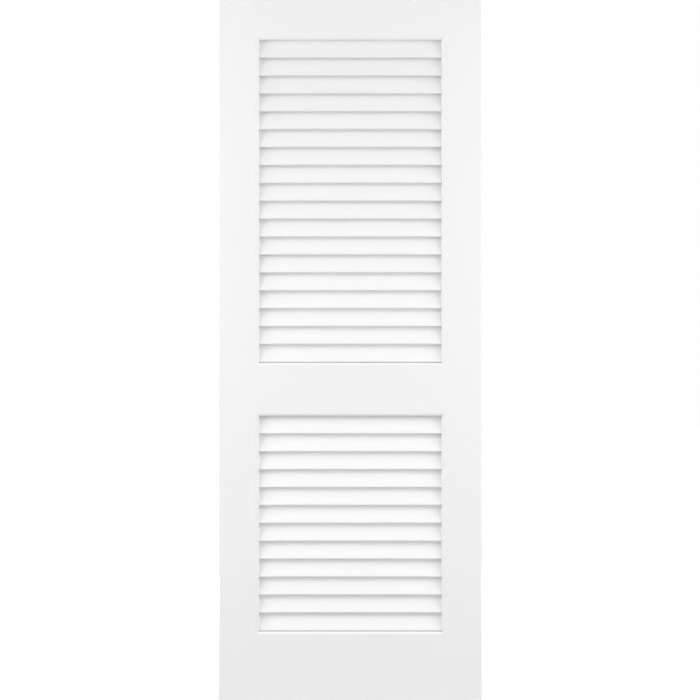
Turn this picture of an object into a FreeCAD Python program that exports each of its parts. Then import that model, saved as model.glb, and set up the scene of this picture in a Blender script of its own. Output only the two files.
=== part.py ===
import FreeCAD
import Part

import math
import os

# A white-painted wooden louvred door: two stiles and three rails frame an upper and a lower opening,
# and each opening is filled with fixed slats that slope down towards the front.
# Millimetres. X runs across the door from its hinge edge, Y from the middle of the thickness to the
# back, and Z up from the bottom edge. The front face looks along -Y.

# The slab
DOOR_WIDTH = 762.0
DOOR_HEIGHT = 2032.0
DOOR_THICKNESS = 35.0
ARRIS_RADIUS = 1.5

# The frame members, measured to the edge of the openings
STILE_WIDTH = 115.3
TOP_RAIL_HEIGHT = 114.5
LOCK_RAIL_HEIGHT = 154.0
BOTTOM_RAIL_HEIGHT = 197.8
LOWER_OPENING_HEIGHT = 626.7

# The sticking along both faces of every edge that borders an opening: a small square quirk, then an ovolo
STICKING_WIDTH = 7.0
STICKING_DEPTH = 4.6
STICKING_QUIRK = 0.6

# The slats, with a shallow round nose along both edges
UPPER_SLATS = 18
LOWER_SLATS = 12
SLAT_THICKNESS = 6.4
SLAT_NOSE_BULGE = 2.0
SLAT_ANGLE_DEG = 70.0
SLAT_SETBACK = 0.6
LOWEST_SLAT_GAP = 1.7

# The ridge along the middle of the upper edge of the lock and bottom rails, behind the lowest slat's nose
SILL_RIDGE_HEIGHT = 3.0
SILL_RIDGE_WIDTH = 8.0

# The routed housings in the stiles that hold the slats' ends, and the groove over each top slat
HOUSING_DEPTH = 8.0
HOUSING_CLEARANCE = 0.2

# Worked-out places
FRONT = -DOOR_THICKNESS / 2
BACK = DOOR_THICKNESS / 2
LEFT_SIGHT = STILE_WIDTH
RIGHT_SIGHT = DOOR_WIDTH - STILE_WIDTH
LOWER_BOTTOM = BOTTOM_RAIL_HEIGHT
LOWER_TOP = LOWER_BOTTOM + LOWER_OPENING_HEIGHT
UPPER_BOTTOM = LOWER_TOP + LOCK_RAIL_HEIGHT
UPPER_TOP = DOOR_HEIGHT - TOP_RAIL_HEIGHT


def sweep(outline, place, along):
    """The solid swept along a vector from a closed outline of segments, each two points or three on an arc."""
    edges = []
    for segment in outline:
        points = [place(across, y) for across, y in segment]
        curve = Part.Arc(*points) if len(points) == 3 else Part.LineSegment(*points)
        edges.append(curve.toShape())
    return Part.Face(Part.Wire(edges)).extrude(FreeCAD.Vector(*along))


def eased_slab():
    """The whole door as one block with its front and back arrises rounded."""
    corner = FreeCAD.Vector(0, FRONT, 0)
    block = Part.makeBox(DOOR_WIDTH, DOOR_THICKNESS, DOOR_HEIGHT, corner)
    arrises = []
    for edge in block.Edges:
        bounds = edge.BoundBox
        if bounds.YLength < bounds.DiagonalLength / 2:
            arrises.append(edge)
    return block.makeFillet(ARRIS_RADIUS, arrises)


def sticking(sight, inward):
    """The sticking's outline in front, from a sight edge to the face, in segments of (across, Y) points.

    The ovolo starts level with the face at the quirk and curves in to the sight edge.
    """
    drop = STICKING_DEPTH - STICKING_QUIRK
    radius = (STICKING_WIDTH ** 2 + drop ** 2) / (2 * drop)
    half_turn = math.asin(STICKING_WIDTH / radius) / 2
    shoulder = sight + inward * STICKING_WIDTH
    step_y = FRONT + STICKING_QUIRK
    arc_middle = (shoulder - inward * radius * math.sin(half_turn), step_y + radius * (1 - math.cos(half_turn)))
    step = (shoulder, step_y)
    return [((sight, FRONT + STICKING_DEPTH), arc_middle, step), (step, (shoulder, FRONT))]


def turned(segments):
    """A run of segments followed the other way."""
    return [segment[::-1] for segment in reversed(segments)]


def both_faces(front_side):
    """A closed outline from its front half: the back face repeats the front one."""
    back_side = turned([tuple((across, -y) for across, y in segment) for segment in front_side])
    over = (front_side[-1][-1], back_side[0][0])
    back_again = (back_side[-1][-1], front_side[0][0])
    outline = front_side + [over] + back_side + [back_again]
    return [segment for segment in outline if segment[0] != segment[-1]]


def stile_stock(outer, sight):
    """A full-height stile from its outer edge to its sight edge, with sticking on the sight edge."""
    inward = math.copysign(1, outer - sight)
    front_side = sticking(sight, inward)
    front_side.append((front_side[-1][-1], (outer, FRONT)))
    return sweep(both_faces(front_side), lambda x, y: FreeCAD.Vector(x, y, 0), (0, 0, DOOR_HEIGHT))


def rail_stock(bottom, top, stick_bottom, stick_top):
    """A rail long enough to lap both stiles' sticking, with sticking where it borders an opening.

    Below an opening a ridge runs along its edge, so that no light shows under the lowest slat.
    """
    low_side = sticking(bottom, 1) if stick_bottom else []
    high_side = turned(sticking(top, -1)) if stick_top else []
    low_corner = low_side[-1][-1] if stick_bottom else (bottom, FRONT)
    high_corner = high_side[0][0] if stick_top else (top, FRONT)
    front_side = low_side + [(low_corner, high_corner)] + high_side
    if stick_top:
        foot = (top, -SILL_RIDGE_WIDTH / 2)
        crest = (top + SILL_RIDGE_HEIGHT, 0)
        front_side += [(front_side[-1][-1], foot), (foot, crest)]
    start = LEFT_SIGHT - STICKING_WIDTH
    length = RIGHT_SIGHT + STICKING_WIDTH - start
    return sweep(both_faces(front_side), lambda z, y: FreeCAD.Vector(start, y, z), (length, 0, 0))


def slat_bar(nose_z, start, end, clearance=0.0):
    """A sloping slat between two X places, its front nose's lowest line at a height.

    The arrises of its noses stop short of the sticking on both faces. A clearance makes it fatter all round.
    """
    angle = math.radians(SLAT_ANGLE_DEG)
    half = SLAT_THICKNESS / 2
    reach = (BACK - STICKING_DEPTH - SLAT_SETBACK - half * math.sin(angle)) / math.cos(angle)
    nose_radius = (half ** 2 + SLAT_NOSE_BULGE ** 2) / (2 * SLAT_NOSE_BULGE)
    nose_drop = nose_radius + (reach + SLAT_NOSE_BULGE - nose_radius) * math.sin(angle)

    middle = FreeCAD.Vector(start, 0, nose_z + nose_drop)
    slope = FreeCAD.Vector(0, math.cos(angle), math.sin(angle))
    facing = FreeCAD.Vector(0, -math.sin(angle), math.cos(angle))
    over = facing * (half + clearance)
    high = middle + slope * reach
    low = middle - slope * reach
    nose = slope * (SLAT_NOSE_BULGE + clearance)
    outline = Part.Wire([
        Part.LineSegment(low + over, high + over).toShape(),
        Part.Arc(high + over, high + nose, high - over).toShape(),
        Part.LineSegment(high - over, low - over).toShape(),
        Part.Arc(low - over, low - nose, low + over).toShape(),
    ])
    return Part.Face(outline).extrude(FreeCAD.Vector(end - start, 0, 0))


def slat_heights(opening_bottom, opening_top, count):
    """The heights of the slats' noses, from the lowest up, evenly pitched to fill the opening."""
    first = opening_bottom + LOWEST_SLAT_GAP
    pitch = (opening_top - first) / count
    return [first + pitch * number for number in range(count)]


def make_stile(stock, slab, housings):
    """A stile with eased outer arrises and a routed housing for the end of every slat."""
    return stock.common(slab).cut(housings)


def make_rail(stock, slab, stiles, groove):
    """A rail coped over both stiles' sticking and grooved for the slat that tops an opening."""
    rail = stock.common(slab)
    for stile in stiles:
        rail = rail.cut(stile)
    if groove:
        rail = rail.cut(groove)
    return rail


def build():
    slab = eased_slab()
    left_stock = stile_stock(0, LEFT_SIGHT)
    right_stock = stile_stock(DOOR_WIDTH, RIGHT_SIGHT)
    stiles = (left_stock, right_stock)

    upper_heights = slat_heights(UPPER_BOTTOM, UPPER_TOP, UPPER_SLATS)
    lower_heights = slat_heights(LOWER_BOTTOM, LOWER_TOP, LOWER_SLATS)
    housing_start = LEFT_SIGHT - HOUSING_DEPTH
    housing_end = RIGHT_SIGHT + HOUSING_DEPTH
    housings = Part.makeCompound([
        slat_bar(nose_z, housing_start, housing_end, HOUSING_CLEARANCE)
        for nose_z in lower_heights + upper_heights
    ])
    upper_groove = slat_bar(upper_heights[-1], housing_start, housing_end, HOUSING_CLEARANCE)
    lower_groove = slat_bar(lower_heights[-1], housing_start, housing_end, HOUSING_CLEARANCE)

    top_stock = rail_stock(UPPER_TOP, DOOR_HEIGHT, True, False)
    lock_stock = rail_stock(LOWER_TOP, UPPER_BOTTOM, True, True)
    bottom_stock = rail_stock(0, LOWER_BOTTOM, False, True)

    pieces = {
        "left_stile": make_stile(left_stock, slab, housings),
        "right_stile": make_stile(right_stock, slab, housings),
        "top_rail": make_rail(top_stock, slab, stiles, upper_groove),
        "lock_rail": make_rail(lock_stock, slab, stiles, lower_groove),
        "bottom_rail": make_rail(bottom_stock, slab, stiles, None),
    }
    slat_start = housing_start + HOUSING_CLEARANCE
    slat_end = housing_end - HOUSING_CLEARANCE
    for opening, heights in (("upper", upper_heights), ("lower", lower_heights)):
        for number, nose_z in enumerate(heights, 1):
            pieces[f"{opening}_slat_{number:02d}"] = slat_bar(nose_z, slat_start, slat_end)
    return pieces


os.makedirs("parts", exist_ok=True)
for name, shape in build().items():
    shape.exportStep(os.path.join("parts", name + ".step"))
    print(f"{name}: {len(shape.Solids)} solid, {shape.Volume / 1000:.1f} cm3, valid {shape.isValid()}")
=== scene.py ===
import math

import bmesh
import bpy
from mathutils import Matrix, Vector


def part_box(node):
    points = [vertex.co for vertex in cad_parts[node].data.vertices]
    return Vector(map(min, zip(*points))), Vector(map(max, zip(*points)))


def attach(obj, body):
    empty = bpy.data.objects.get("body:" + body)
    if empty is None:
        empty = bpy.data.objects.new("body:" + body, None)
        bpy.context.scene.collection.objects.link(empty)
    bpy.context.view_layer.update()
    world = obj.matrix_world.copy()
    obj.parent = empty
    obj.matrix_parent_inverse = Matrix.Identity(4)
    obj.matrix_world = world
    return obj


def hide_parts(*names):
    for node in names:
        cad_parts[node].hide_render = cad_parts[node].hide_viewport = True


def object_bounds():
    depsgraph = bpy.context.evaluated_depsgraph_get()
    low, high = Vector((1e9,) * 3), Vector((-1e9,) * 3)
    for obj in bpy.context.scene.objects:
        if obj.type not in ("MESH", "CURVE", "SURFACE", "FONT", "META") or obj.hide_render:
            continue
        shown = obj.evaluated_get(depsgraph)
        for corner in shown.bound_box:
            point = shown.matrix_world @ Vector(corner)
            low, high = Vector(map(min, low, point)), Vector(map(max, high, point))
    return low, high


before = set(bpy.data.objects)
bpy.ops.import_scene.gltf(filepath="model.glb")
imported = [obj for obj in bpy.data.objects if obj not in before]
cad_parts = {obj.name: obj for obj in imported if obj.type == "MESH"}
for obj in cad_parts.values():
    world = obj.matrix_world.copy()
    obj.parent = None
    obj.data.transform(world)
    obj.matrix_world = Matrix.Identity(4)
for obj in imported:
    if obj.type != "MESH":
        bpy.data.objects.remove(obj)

cad_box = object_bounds()

# The slats
# Thin pine boards, moulded with a shallow round nose along both long edges and sprayed with white satin
# paint. All lie at one slope, low edge to the front, and their ends are held in the stiles' housings.
slat_nodes = sorted(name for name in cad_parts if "_slat_" in name)
slat_slope = math.radians(70)
slat_thickness = 0.0064
slat_nose_bulge = 0.0020
nose_steps = 12
slat_arris_softening = 0.0003
slat_arris_steps = 2
slat_white = (0.868, 0.868, 0.864)
hair = 0.00001

first_low, first_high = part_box(slat_nodes[0])
slat_middle = (first_low + first_high) / 2
slat_length = first_high.x - first_low.x
half_thickness = slat_thickness / 2
half_depth = (first_high.y - first_low.y) / 2
nose_radius = (half_thickness ** 2 + slat_nose_bulge ** 2) / (2 * slat_nose_bulge)
slat_reach = (half_depth - half_thickness * math.sin(slat_slope)) / math.cos(slat_slope)
nose_centre = slat_reach + slat_nose_bulge - nose_radius
nose_angle = 2 * math.asin(half_thickness / nose_radius)


def choose_edges(board, wanted):
    """Leaves only those edges of a board in edit mode selected whose two ends are wanted."""
    bpy.ops.mesh.select_mode(type="EDGE")
    bpy.ops.mesh.select_all(action="DESELECT")
    mesh = bmesh.from_edit_mesh(board.data)
    for edge in mesh.edges:
        edge.select_set(wanted(edge.verts[0].co, edge.verts[1].co))
    bmesh.update_edit_mesh(board.data)


def both_near(a, b, axis, place):
    """Whether both ends of an edge lie at a place along an axis."""
    return abs(getattr(a, axis) - place) < hair and abs(getattr(b, axis) - place) < hair


def take_up(board):
    """Makes one board the only one selected and the active one."""
    bpy.ops.object.select_all(action="DESELECT")
    board.select_set(True)
    bpy.context.view_layer.objects.active = board


def smooth_for_paint(board):
    """Shades the rounded edges smooth while the broad faces stay flat."""
    sharpest_smooth_edge = math.radians(32)
    take_up(board)
    bpy.ops.object.shade_smooth_by_angle(angle=sharpest_smooth_edge)
    bpy.ops.object.modifier_add(type="WEIGHTED_NORMAL")
    board.modifiers[-1].keep_sharp = True
    bpy.ops.object.modifier_apply(modifier=board.modifiers[-1].name)


def satin_paint(name, white, grain_axis):
    """White satin paint over wood: faint raised grain along one axis, a sprayed skin and a cloudy tone."""
    grain_across, grain_along, grain_detail = 420, 9, 4
    skin_per_metre, skin_detail = 900, 2
    clouds_per_metre, cloud_detail = 5, 3
    cloud_shade = (0.985, 0.987, 0.990)
    grain_low, grain_high = 0.3, 0.7
    least_rough, most_rough = 0.42, 0.52
    grain_strength, grain_height = 0.10, 0.0003
    skin_strength, skin_height = 0.08, 0.0002

    paint = bpy.data.materials.new(name)
    paint.use_nodes = True
    nodes, links = paint.node_tree.nodes, paint.node_tree.links
    shader = nodes["Principled BSDF"]

    def noise(vector, scale, detail):
        """A noise pattern laid out by a vector."""
        pattern = nodes.new("ShaderNodeTexNoise")
        pattern.inputs["Scale"].default_value = scale
        pattern.inputs["Detail"].default_value = detail
        links.new(vector, pattern.inputs["Vector"])
        return pattern.outputs["Fac"]

    def bump(pattern, strength, height):
        """A bump raised by a pattern."""
        raised = nodes.new("ShaderNodeBump")
        raised.inputs["Strength"].default_value = strength
        raised.inputs["Distance"].default_value = height
        links.new(pattern, raised.inputs["Height"])
        return raised

    on_board = nodes.new("ShaderNodeTexCoord").outputs["Object"]
    stretch = nodes.new("ShaderNodeMapping")
    stretch.inputs["Scale"].default_value = [
        grain_along if axis == grain_axis else grain_across for axis in "XYZ"
    ]
    links.new(on_board, stretch.inputs["Vector"])
    grain = noise(stretch.outputs["Vector"], 1, grain_detail)
    skin = noise(on_board, skin_per_metre, skin_detail)
    clouds = noise(on_board, clouds_per_metre, cloud_detail)

    tone = nodes.new("ShaderNodeMix")
    tone.data_type = "RGBA"
    tone.inputs["A"].default_value = (*(part * shade for part, shade in zip(white, cloud_shade)), 1)
    tone.inputs["B"].default_value = (*white, 1)
    links.new(clouds, tone.inputs["Factor"])
    links.new(tone.outputs["Result"], shader.inputs["Base Color"])

    gloss = nodes.new("ShaderNodeMapRange")
    gloss.inputs["From Min"].default_value = grain_low
    gloss.inputs["From Max"].default_value = grain_high
    gloss.inputs["To Min"].default_value = least_rough
    gloss.inputs["To Max"].default_value = most_rough
    links.new(grain, gloss.inputs["Value"])
    links.new(gloss.outputs["Result"], shader.inputs["Roughness"])

    raised_grain = bump(grain, grain_strength, grain_height)
    sprayed_skin = bump(skin, skin_strength, skin_height)
    links.new(raised_grain.outputs["Normal"], sprayed_skin.inputs["Normal"])
    links.new(sprayed_skin.outputs["Normal"], shader.inputs["Normal"])
    return paint


bpy.ops.object.select_all(action="DESELECT")
bpy.ops.mesh.primitive_plane_add(
    size=1,
    location=(slat_length / 2, -half_thickness, 0),
    rotation=(math.pi / 2, 0, 0),
)
first_slat = bpy.context.object
first_slat.scale = (slat_length, 2 * slat_reach, 1)
bpy.ops.object.transform_apply()
bpy.ops.object.mode_set(mode="EDIT")
choose_edges(first_slat, lambda a, b: both_near(a, b, "z", -slat_reach))
bpy.ops.mesh.spin(steps=nose_steps, angle=nose_angle, center=(0, 0, -nose_centre), axis=(-1, 0, 0))
choose_edges(first_slat, lambda a, b: both_near(a, b, "y", half_thickness))
bpy.ops.mesh.extrude_region_move(TRANSFORM_OT_translate={"value": (0, 0, 2 * slat_reach)})
bpy.ops.mesh.spin(steps=nose_steps, angle=nose_angle, center=(0, 0, nose_centre), axis=(-1, 0, 0))
bpy.ops.mesh.select_all(action="SELECT")
bpy.ops.mesh.remove_doubles(threshold=hair)
for end_x in (0, slat_length):
    choose_edges(first_slat, lambda a, b: both_near(a, b, "x", end_x))
    bpy.ops.mesh.edge_face_add()
bpy.ops.mesh.select_all(action="SELECT")
bpy.ops.mesh.normals_make_consistent(inside=False)
choose_edges(
    first_slat,
    lambda a, b: (
        abs(a.x - b.x) > hair
        and abs(abs(a.y) - half_thickness) < hair
        and abs(abs(a.z) - slat_reach) < hair
    ),
)
bpy.ops.mesh.bevel(offset=slat_arris_softening, segments=slat_arris_steps)
bpy.ops.object.mode_set(mode="OBJECT")
first_slat.rotation_euler.x = slat_slope - math.pi / 2
first_slat.location = (first_low.x, slat_middle.y, slat_middle.z)
bpy.ops.object.transform_apply()
smooth_for_paint(first_slat)
first_slat.data.materials.append(satin_paint("slat_satin_white", slat_white, "X"))

slats = [first_slat]
for node in slat_nodes[1:]:
    take_up(first_slat)
    bpy.ops.object.duplicate()
    slats.append(bpy.context.object)
    bpy.ops.transform.translate(value=(0, 0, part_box(node)[0].z - first_low.z))
    bpy.ops.object.transform_apply()
for slat, node in zip(slats, slat_nodes):
    slat.name = "painted_" + node
    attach(slat, "root")
    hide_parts(node)

# The stiles
# The two full-height uprights of solid pine. A quirk and an ovolo are run along the edge that faces the
# openings, on both faces, and a sloping housing is routed there for the end of every slat.
left_low, left_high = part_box("left_stile")
right_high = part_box("right_stile")[1]
face_y = left_high.y
left_sight = left_high.x
sticking_width = 0.007
sticking_depth = 0.0046
sticking_quirk = 0.0003
ovolo_steps = 8
arris_radius = 0.0015
arris_steps = 4
shoulder_softening = 0.00015
shoulder_steps = 2
sight_softening = 0.0008
sight_steps = 3
housing_clearance = 0.0002
frame_white = (0.868, 0.868, 0.864)
squarely = 0.99


def saw_board(low, high):
    """A square-edged board between two corners, taken up in edit mode."""
    bpy.ops.object.select_all(action="DESELECT")
    bpy.ops.mesh.primitive_cube_add(size=1, location=(low + high) / 2, scale=high - low)
    bpy.ops.object.transform_apply()
    bpy.ops.object.mode_set(mode="EDIT")
    return bpy.context.object


def choose_faces(board, wanted):
    """Leaves only those faces of a board in edit mode selected whose centre and normal are wanted."""
    bpy.ops.mesh.select_mode(type="FACE")
    bpy.ops.mesh.select_all(action="DESELECT")
    mesh = bmesh.from_edit_mesh(board.data)
    for face in mesh.faces:
        face.select_set(wanted(face.calc_center_median(), face.normal))
    bmesh.update_edit_mesh(board.data)


def run_sticking(board, toward):
    """Shapes the edge that faces an opening: a square step below each face, then an ovolo."""
    step_y = face_y - sticking_quirk
    drop = sticking_depth - sticking_quirk
    radius = (sticking_width ** 2 + drop ** 2) / (2 * drop)
    turn = math.asin(sticking_width / radius)
    for side in (-1, 1):
        choose_faces(board, lambda centre, normal: normal.dot(toward) > squarely)
        bpy.ops.mesh.bisect(plane_co=(0, side * step_y, 0), plane_no=(0, 1, 0))
    choose_faces(board, lambda centre, normal: normal.dot(toward) > squarely and abs(centre.y) < hair)
    out, half_width = 0, step_y
    for step in range(1, ovolo_steps + 1):
        new_out = radius * math.sin(turn * step / ovolo_steps)
        new_half_width = step_y - radius * (1 - math.cos(turn * step / ovolo_steps))
        bpy.ops.mesh.extrude_region_move(TRANSFORM_OT_translate={"value": toward * (new_out - out)})
        bpy.ops.transform.resize(value=(1, new_half_width / half_width, 1), center_override=(0, 0, 0))
        out, half_width = new_out, new_half_width


def ease_edges(board, wanted, radius, steps):
    """Rounds over the wanted edges of a board in edit mode."""
    choose_edges(board, wanted)
    bpy.ops.mesh.bevel(offset=radius, segments=steps)


def on_face_line(a, b):
    """Whether an edge lies in the front or the back face."""
    return both_near(a, b, "y", face_y) or both_near(a, b, "y", -face_y)


def cut_away(board, *cutters):
    """Cuts the shape of each cutter out of a board."""
    take_up(board)
    for cutter in cutters:
        bpy.ops.object.modifier_add(type="BOOLEAN")
        cut = board.modifiers[-1]
        cut.operation = "DIFFERENCE"
        cut.solver = "EXACT"
        cut.object = cutter
        bpy.ops.object.modifier_apply(modifier=cut.name)


bpy.ops.object.select_all(action="DESELECT")
for slat in slats:
    slat.select_set(True)
bpy.context.view_layer.objects.active = first_slat
bpy.ops.object.duplicate()
bpy.ops.object.join()
housing_cutter = bpy.context.object
housing_cutter.name = "housing_cutter"
bpy.ops.object.mode_set(mode="EDIT")
bpy.ops.mesh.select_all(action="SELECT")
bpy.ops.transform.shrink_fatten(value=housing_clearance, use_even_offset=True)
bpy.ops.mesh.customdata_custom_splitnormals_clear()
bpy.ops.object.mode_set(mode="OBJECT")

shoulder = left_sight - sticking_width
left_stile = saw_board(left_low, Vector((shoulder, left_high.y, left_high.z)))
run_sticking(left_stile, Vector((1, 0, 0)))
ease_edges(
    left_stile,
    lambda a, b: on_face_line(a, b) and (
        both_near(a, b, "x", left_low.x)
        or both_near(a, b, "z", left_low.z)
        or both_near(a, b, "z", left_high.z)
    ),
    arris_radius,
    arris_steps,
)
ease_edges(
    left_stile,
    lambda a, b: (
        abs(a.z - b.z) > sticking_width
        and on_face_line(a, b)
        and both_near(a, b, "x", shoulder)
    ),
    shoulder_softening,
    shoulder_steps,
)
ease_edges(
    left_stile,
    lambda a, b: abs(a.z - b.z) > sticking_width and both_near(a, b, "x", left_sight),
    sight_softening,
    sight_steps,
)
bpy.ops.object.mode_set(mode="OBJECT")


def mirrored_across(board, name):
    """A copy of a board turned left for right about the door's upright middle plane."""
    take_up(board)
    bpy.ops.object.duplicate()
    twin = bpy.context.object
    twin.name = name
    twin.scale.x = -1
    twin.location.x = left_low.x + right_high.x
    bpy.ops.object.transform_apply()
    bpy.ops.object.mode_set(mode="EDIT")
    bpy.ops.mesh.select_all(action="SELECT")
    bpy.ops.mesh.normals_make_consistent(inside=False)
    bpy.ops.object.mode_set(mode="OBJECT")
    return twin


right_stile = mirrored_across(left_stile, "painted_right_stile")
left_stile.name = "painted_left_stile"
stile_paint = satin_paint("stile_satin_white", frame_white, "Z")
for stile, node in ((left_stile, "left_stile"), (right_stile, "right_stile")):
    cut_away(stile, housing_cutter)
    smooth_for_paint(stile)
    stile.data.materials.clear()
    stile.data.materials.append(stile_paint)
    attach(stile, "root")
    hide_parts(node)

# The rails
# The three cross members, of the same pine, coped over the stiles' sticking and glued. The upper two are
# grooved for the slat below them, and a ridge on the lower two shuts out light under the lowest slat.
rail_paint = satin_paint("rail_satin_white", frame_white, "X")
ridge_height = 0.0030
ridge_width = 0.0080
crest_softening = 0.0003
crest_steps = 2
cope_allowance = 0.002
glue_line = 0.00004

allowance = Vector((cope_allowance,) * 3)
left_cope = saw_board(
    left_low - allowance,
    Vector((shoulder, left_high.y, left_high.z)) + allowance * Vector((0, 1, 1)),
)
run_sticking(left_cope, Vector((1, 0, 0)))
bpy.ops.mesh.select_all(action="SELECT")
bpy.ops.transform.shrink_fatten(value=glue_line, use_even_offset=True)
bpy.ops.object.mode_set(mode="OBJECT")
right_cope = mirrored_across(left_cope, "right_cope")


def raise_ridge(rail, sight_z):
    """Raises a ridge along the middle of a rail's upper edge and eases its crest."""
    for line_y in (-ridge_width / 2, 0, ridge_width / 2):
        choose_faces(rail, lambda centre, normal: normal.z > squarely and abs(centre.z - sight_z) < hair)
        bpy.ops.mesh.bisect(plane_co=(0, line_y, 0), plane_no=(0, 1, 0))
    choose_edges(rail, lambda a, b: both_near(a, b, "y", 0) and both_near(a, b, "z", sight_z))
    bpy.ops.transform.translate(value=(0, 0, ridge_height))
    bpy.ops.mesh.bevel(offset=crest_softening, segments=crest_steps)


def make_rail(node, opens_below, opens_above):
    """A rail in its CAD node's place, with sticking where an opening lies below it or above it."""
    low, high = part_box(node)
    top_z = high.z - ridge_height if opens_above else high.z
    block_low = low - Vector((cope_allowance / 2, 0, 0))
    block_high = Vector((high.x + cope_allowance / 2, high.y, top_z))
    block_low.z += sticking_width if opens_below else 0
    block_high.z -= sticking_width if opens_above else 0
    rail = saw_board(block_low, block_high)
    rail.name = "painted_" + node
    if opens_below:
        run_sticking(rail, Vector((0, 0, -1)))
    if opens_above:
        run_sticking(rail, Vector((0, 0, 1)))
        raise_ridge(rail, top_z)
    low_edge = (opens_below, block_low.z, low.z)
    high_edge = (opens_above, block_high.z, top_z)
    for opens, shoulder_z, sight_z in (low_edge, high_edge):
        if opens:
            ease_edges(
                rail,
                lambda a, b: (
                    abs(a.x - b.x) > sticking_width
                    and on_face_line(a, b)
                    and both_near(a, b, "z", shoulder_z)
                ),
                shoulder_softening,
                shoulder_steps,
            )
            ease_edges(
                rail,
                lambda a, b: (
                    abs(a.x - b.x) > sticking_width
                    and abs(a.y) > ridge_width
                    and both_near(a, b, "z", sight_z)
                ),
                sight_softening,
                sight_steps,
            )
        else:
            ease_edges(
                rail,
                lambda a, b: on_face_line(a, b) and both_near(a, b, "z", sight_z),
                arris_radius,
                arris_steps,
            )
    bpy.ops.object.mode_set(mode="OBJECT")
    cut_away(rail, left_cope, right_cope, housing_cutter)
    smooth_for_paint(rail)
    rail.data.materials.clear()
    rail.data.materials.append(rail_paint)
    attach(rail, "root")
    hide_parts(node)


make_rail("top_rail", opens_below=True, opens_above=False)
make_rail("lock_rail", opens_below=True, opens_above=True)
make_rail("bottom_rail", opens_below=False, opens_above=True)
for cutter in (housing_cutter, left_cope, right_cope):
    bpy.data.objects.remove(cutter)

# The studio
# A wide pale floor under the door and a white surround, which gives more of its soft fill from in front. A
# large soft lamp stands in front on each side, and a low one behind.
door_middle = (cad_box[0] + cad_box[1]) / 2
door_height = cad_box[1].z - cad_box[0].z
pure_white = (1, 1, 1, 1)

# To the camera the floor is lifted to white, a little less near the door, where its shadow falls.
floor_size = 40
floor_grey = (0.45, 0.45, 0.45, 1)
floor_roughness = 0.9
near_door, far_off = 1.2, 3.0
lift_near_door, lift_far_off = 0.6, 0.8
bpy.ops.object.select_all(action="DESELECT")
bpy.ops.mesh.primitive_plane_add(size=floor_size, location=(door_middle.x, door_middle.y, cad_box[0].z))
floor = bpy.context.object
floor.name = "floor"
floor_white = bpy.data.materials.new("floor_white")
floor_white.use_nodes = True
nodes, links = floor_white.node_tree.nodes, floor_white.node_tree.links
floor_shader = nodes["Principled BSDF"]
floor_shader.inputs["Base Color"].default_value = floor_grey
floor_shader.inputs["Roughness"].default_value = floor_roughness
floor_shader.inputs["Emission Color"].default_value = pure_white
on_floor = nodes.new("ShaderNodeTexCoord")
from_door = nodes.new("ShaderNodeVectorMath")
from_door.operation = "LENGTH"
links.new(on_floor.outputs["Object"], from_door.inputs[0])
lift = nodes.new("ShaderNodeMapRange")
lift.inputs["From Min"].default_value = near_door
lift.inputs["From Max"].default_value = far_off
lift.inputs["To Min"].default_value = lift_near_door
lift.inputs["To Max"].default_value = lift_far_off
links.new(from_door.outputs["Value"], lift.inputs["Value"])
ray = nodes.new("ShaderNodeLightPath")
lift_as_seen = nodes.new("ShaderNodeMath")
lift_as_seen.operation = "MULTIPLY"
links.new(ray.outputs["Is Camera Ray"], lift_as_seen.inputs[0])
links.new(lift.outputs["Result"], lift_as_seen.inputs[1])
links.new(lift_as_seen.outputs["Value"], floor_shader.inputs["Emission Strength"])
floor.data.materials.append(floor_white)

# The surround is seen and mirrored as plain white. As light it is dimmer, and fades towards the back.
fill_in_front, fill_behind = 0.612, 0.12
fade_start, fade_end = -0.2, 0.2
world = bpy.data.worlds.new("white_surround")
bpy.context.scene.world = world
world.use_nodes = True
nodes, links = world.node_tree.nodes, world.node_tree.links
seen_white = nodes["Background"]
seen_white.inputs["Color"].default_value = pure_white
seen_white.inputs["Strength"].default_value = 1
dim_fill = nodes.new("ShaderNodeBackground")
dim_fill.inputs["Color"].default_value = pure_white
all_round = nodes.new("ShaderNodeTexCoord")
bearing = nodes.new("ShaderNodeSeparateXYZ")
links.new(all_round.outputs["Generated"], bearing.inputs["Vector"])
fill_level = nodes.new("ShaderNodeMapRange")
fill_level.inputs["From Min"].default_value = fade_start
fill_level.inputs["From Max"].default_value = fade_end
fill_level.inputs["To Min"].default_value = fill_in_front
fill_level.inputs["To Max"].default_value = fill_behind
links.new(bearing.outputs["Y"], fill_level.inputs["Value"])
links.new(fill_level.outputs["Result"], dim_fill.inputs["Strength"])
ray = nodes.new("ShaderNodeLightPath")
seen_or_mirrored = nodes.new("ShaderNodeMath")
seen_or_mirrored.operation = "MAXIMUM"
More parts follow.
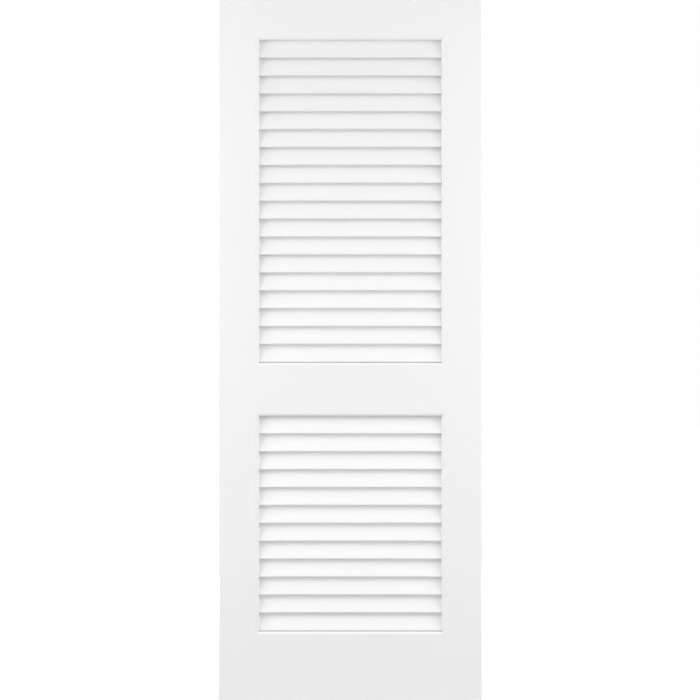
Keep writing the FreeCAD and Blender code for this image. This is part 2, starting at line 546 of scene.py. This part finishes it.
links.new(ray.outputs["Is Camera Ray"], seen_or_mirrored.inputs[0])
links.new(ray.outputs["Is Glossy Ray"], seen_or_mirrored.inputs[1])
seen_through = nodes.new("ShaderNodeMath")
seen_through.operation = "MAXIMUM"
links.new(seen_or_mirrored.outputs["Value"], seen_through.inputs[0])
links.new(ray.outputs["Is Transmission Ray"], seen_through.inputs[1])
choice = nodes.new("ShaderNodeMixShader")
links.new(seen_through.outputs["Value"], choice.inputs["Fac"])
links.new(dim_fill.outputs["Background"], choice.inputs[1])
links.new(seen_white.outputs["Background"], choice.inputs[2])
links.new(choice.outputs["Shader"], nodes["World Output"].inputs["Surface"])

side_lamp_out = 2.30
side_lamp_front = 1.22
side_lamp_height = 1.5
side_lamp_size = (2.0, 2.4)
side_lamp_watts = 49.7
back_lamp_back = 3.4
back_lamp_height = 0.4
back_lamp_size = (2.0, 0.7)
back_lamp_watts = 55


def soft_lamp(name, stand, size, watts):
    """A rectangular soft lamp that points at the middle of the door."""
    light = bpy.data.lights.new(name, "AREA")
    light.shape = "RECTANGLE"
    light.size, light.size_y = size
    light.energy = watts
    lamp = bpy.data.objects.new(name, light)
    bpy.context.scene.collection.objects.link(lamp)
    lamp.location = stand
    lamp.rotation_euler = (door_middle - lamp.location).to_track_quat("-Z", "Y").to_euler()


for name, side in (("left_lamp", -1), ("right_lamp", 1)):
    stand = (door_middle.x + side * side_lamp_out, -side_lamp_front, side_lamp_height)
    soft_lamp(name, stand, side_lamp_size, side_lamp_watts)
stand = (door_middle.x, back_lamp_back, back_lamp_height)
soft_lamp("back_lamp", stand, back_lamp_size, back_lamp_watts)

camera_distance = 6.0
camera_aside = -0.0012
camera = bpy.data.objects.new("camera", bpy.data.cameras.new("camera"))
bpy.context.scene.collection.objects.link(camera)
camera.location = (door_middle.x + camera_aside, cad_box[0].y - camera_distance, door_middle.z)
camera.rotation_euler = (math.pi / 2, 0, 0)
camera.data.lens = camera.data.sensor_width * camera_distance / door_height
bpy.context.scene.camera = camera
bpy.context.scene.view_settings.view_transform = "Standard"
